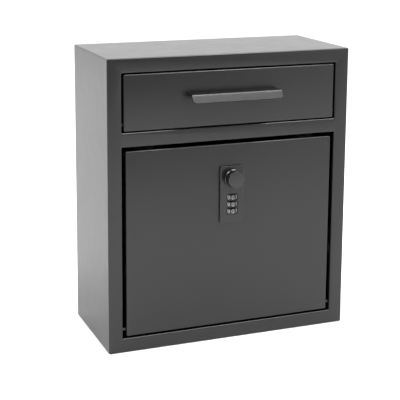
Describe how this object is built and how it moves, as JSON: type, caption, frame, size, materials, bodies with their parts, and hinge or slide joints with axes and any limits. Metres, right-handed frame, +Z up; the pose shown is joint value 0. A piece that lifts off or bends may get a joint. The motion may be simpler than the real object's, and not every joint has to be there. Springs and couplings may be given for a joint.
{
  "type": "parcel drop box",
  "caption": "Folded sheet-steel parcel drop box with a tilting hopper above, and a bottom-hinged collection door below with a turning knob and combination wheels.",
  "frame": {"origin": "middle of the underside of the cabinet, without the handle and the knob", "axes": "+X to the right seen from the front, +Y from the front face to the wall, +Z up"},
  "size_m": [0.267, 0.138, 0.3048],
  "materials": {
    "powder_coat": "satin charcoal powder coat on folded sheet steel",
    "zinc_steel": "bright zinc-plated steel",
    "spring_steel": "plain rolled spring steel",
    "bumper_rubber": "matt moulded rubber",
    "bush_nylon": "matt moulded nylon",
    "lock_alloy": "plain die-cast alloy",
    "lock_enamel": "satin dark grey enamel on die-cast alloy",
    "dial_plastic": "black moulded plastic"
  },
  "bodies": {
    "cabinet": {"cabinet_wrap": "powder_coat", "base_pan": "powder_coat", "front_frame": "powder_coat", "middle_rail": "powder_coat", "back_panel": "powder_coat", "back_screws": "zinc_steel", "clinch_nuts": "zinc_steel", "anti_fishing_baffle": "powder_coat", "hopper_stop_tabs": "powder_coat", "hopper_bumpers": "bumper_rubber", "hopper_bushes": "bush_nylon", "door_stop_tabs": "powder_coat", "door_bumpers": "bumper_rubber", "door_bushes": "bush_nylon"},
    "hopper": {"hopper_front": "powder_coat", "hopper_handle": "powder_coat", "hopper_tray": "powder_coat", "left_cheek": "powder_coat", "right_cheek": "powder_coat", "hopper_pivot_pins": "zinc_steel", "hopper_stop_studs": "zinc_steel"},
    "door": {"door_panel": "powder_coat", "door_pivot_pins": "zinc_steel", "door_stop_arms": "powder_coat", "door_stop_studs": "zinc_steel", "lock_plate": "lock_enamel", "knob_collar": "lock_enamel", "lock_housing": "lock_alloy", "lock_cover": "lock_alloy", "lock_cover_screws": "zinc_steel", "lock_fixing_screws": "zinc_steel", "dial_axle": "zinc_steel", "dial_spacers": "zinc_steel", "detent_spring": "spring_steel"},
    "knob": {"lock_knob": "lock_enamel", "knob_spindle": "zinc_steel", "lock_cam": "zinc_steel", "cam_washer": "zinc_steel", "cam_nut": "zinc_steel"},
    "upper_wheel": {"upper_dial": "dial_plastic"},
    "middle_wheel": {"middle_dial": "dial_plastic"},
    "lower_wheel": {"lower_dial": "dial_plastic"}
  },
  "joints": [
    {"name": "hopper_tilt", "type": "hinge", "parent": "cabinet", "child": "hopper", "pos_m": [0, -0.0555, 0.238], "axis": [1, 0, 0], "range_deg": [0, 60]},
    {"name": "door_drop", "type": "hinge", "parent": "cabinet", "child": "door", "pos_m": [0, -0.0555, 0.024], "axis": [1, 0, 0], "range_deg": [0, 90]},
    {"name": "knob_turn", "type": "hinge", "parent": "door", "child": "knob", "pos_m": [0, -0.0625, 0.1754], "axis": [0, -1, 0], "range_deg": [0, 90]},
    {"name": "upper_code_turn", "type": "hinge", "parent": "door", "child": "upper_wheel", "pos_m": [0, -0.05756, 0.1548], "axis": [0, 0, 1], "continuous": true},
    {"name": "middle_code_turn", "type": "hinge", "parent": "door", "child": "middle_wheel", "pos_m": [0, -0.05756, 0.1474], "axis": [0, 0, 1], "continuous": true},
    {"name": "lower_code_turn", "type": "hinge", "parent": "door", "child": "lower_wheel", "pos_m": [0, -0.05756, 0.14], "axis": [0, 0, 1], "continuous": true}
  ]
}
